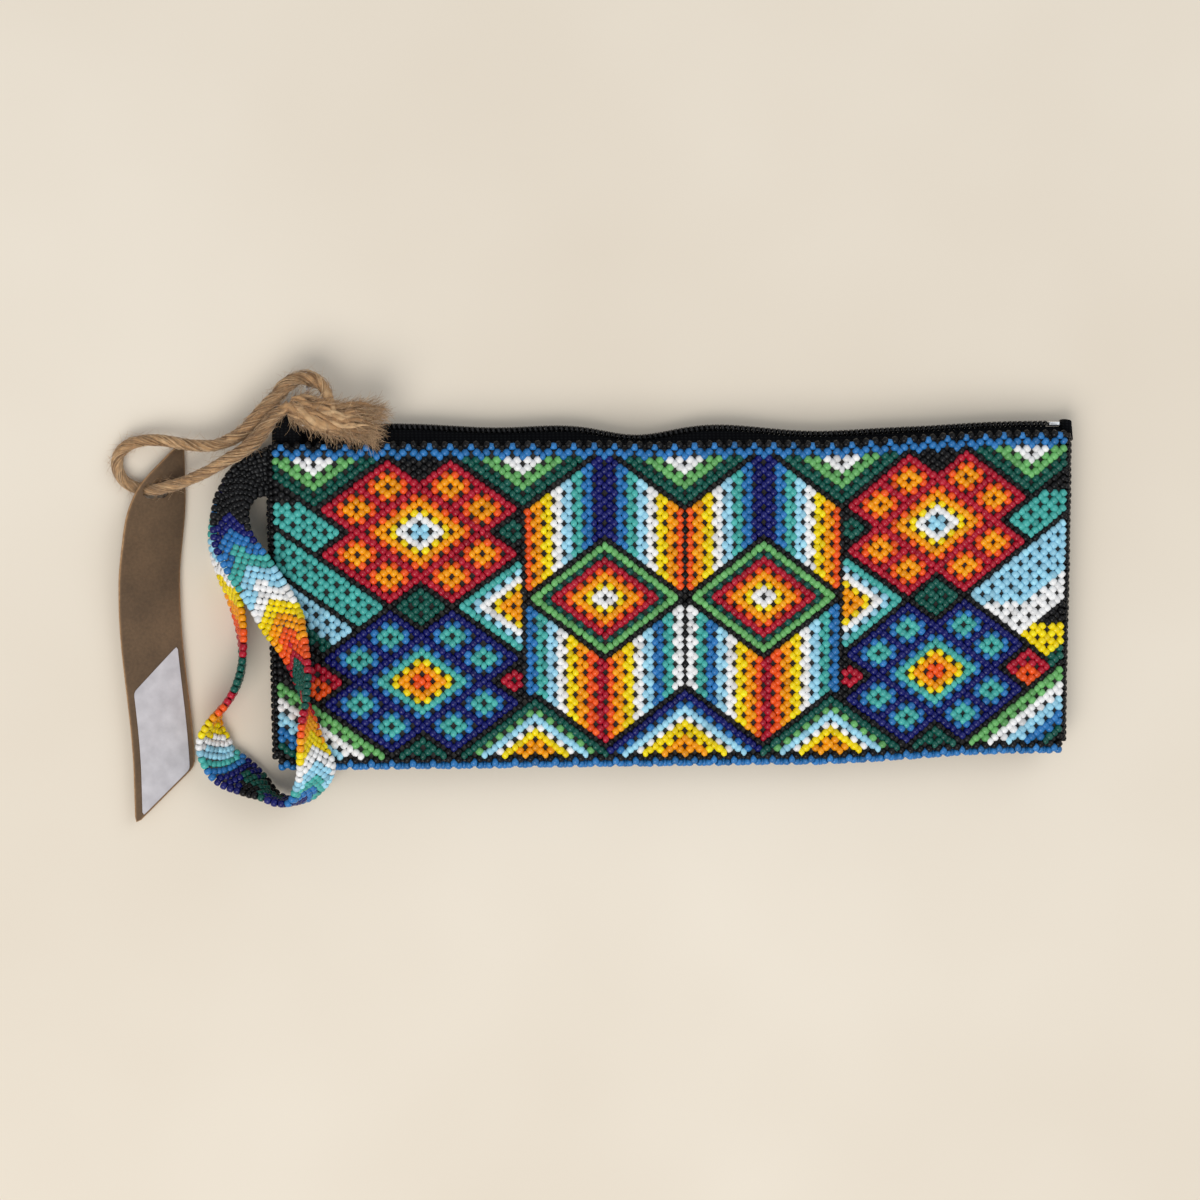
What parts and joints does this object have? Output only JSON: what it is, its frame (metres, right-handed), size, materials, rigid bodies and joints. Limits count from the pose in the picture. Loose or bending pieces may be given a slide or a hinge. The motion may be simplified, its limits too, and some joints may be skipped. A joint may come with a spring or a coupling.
{
  "type": "beaded zip pouch",
  "caption": "Flat leather zip pouch with a geometric seed-bead front, a beaded wrist strap folded over its end and a slanted hang tag on twine.",
  "frame": {"origin": "middle of the back panel's outer face, on the surface that the bag lies on", "axes": "+X along the zip towards its bottom stop, +Y from the bottom seam to the zip, +Z out of the bead front"},
  "size_m": [0.2492, 0.1153, 0.0245],
  "materials": {
    "black_leather": "satin",
    "lining_cloth": "matte",
    "zip_tape": "matte",
    "zip_coil": "satin",
    "zip_metal": "satin",
    "beads_black": "gloss",
    "beads_navy": "gloss",
    "beads_blue": "gloss",
    "beads_teal": "gloss",
    "beads_light_blue": "gloss",
    "beads_dark_green": "gloss",
    "beads_light_green": "gloss",
    "beads_red": "gloss",
    "beads_orange": "gloss",
    "beads_yellow": "gloss",
    "tag_leather": "satin",
    "label_paper": "matte",
    "jute": "matte"
  },
  "bodies": {
    "bag": {"back_panel": "black_leather", "front_panel": "black_leather", "edge_wall": "black_leather", "back_lining": "lining_cloth", "front_lining": "lining_cloth", "bead_ground": "beads_black", "border_top": "beads_blue", "border_bottom": "beads_blue", "top_triangle_1": "beads_light_green", "top_triangle_2": "beads_light_green", "top_triangle_3": "beads_light_green", "top_triangle_4": "beads_light_green", "top_triangle_5": "beads_light_green", "bottom_triangle_middle": "beads_blue", "bottom_triangle_left": "beads_yellow", "bottom_triangle_right": "beads_yellow", "eye_ring_left": "beads_light_green", "eye_ring_right": "beads_light_green", "eye_core_left": "beads_orange", "eye_core_right": "beads_orange", "stripes_above_eye_left": "beads_blue", "stripes_above_eye_right": "beads_blue", "stripes_below_eye_left": "beads_orange", "stripes_below_eye_right": "beads_orange", "red_flower_left": "beads_red", "red_flower_right": "beads_red", "red_flower_heart_left": "beads_orange", "red_flower_heart_right": "beads_orange", "blue_flower_left": "beads_navy", "blue_flower_right": "beads_navy", "blue_flower_heart_left": "beads_teal", "blue_flower_heart_right": "beads_teal", "side_band_left": "beads_teal", "side_band_right": "beads_light_blue", "zip_tape_front": "zip_tape", "zip_tape_back": "zip_tape", "zip_coil_front": "zip_coil", "zip_coil_back": "zip_coil", "zip_top_stop_front": "zip_metal", "zip_top_stop_back": "zip_metal", "zip_bottom_stop": "zip_metal", "strap_root_front": "beads_black", "strap_cool_front": "beads_blue", "strap_warm_front": "beads_orange", "strap_green_front": "beads_dark_green", "strap_light_front": "beads_yellow", "strap_middle": "beads_navy", "strap_light_back": "beads_light_blue", "strap_green_back": "beads_dark_green", "strap_warm_back": "beads_orange", "strap_cool_back": "beads_blue", "strap_root_back": "beads_black", "tag": "tag_leather", "tag_label": "label_paper", "twine": "jute", "twine_knot": "jute"},
    "slider": {"zip_slider": "zip_metal"},
    "pull": {"zip_pull": "zip_metal"}
  },
  "joints": [
    {"name": "slider_slide", "type": "slide", "parent": "bag", "child": "slider", "axis": [1, 0, 0], "range_m": [0, 0.187]},
    {"name": "pull_turn", "type": "hinge", "parent": "slider", "child": "pull", "pos_m": [-0.0943, 0.0497, 0.0045], "axis": [0, 0, 1], "range_deg": [-85, 85]}
  ]
}
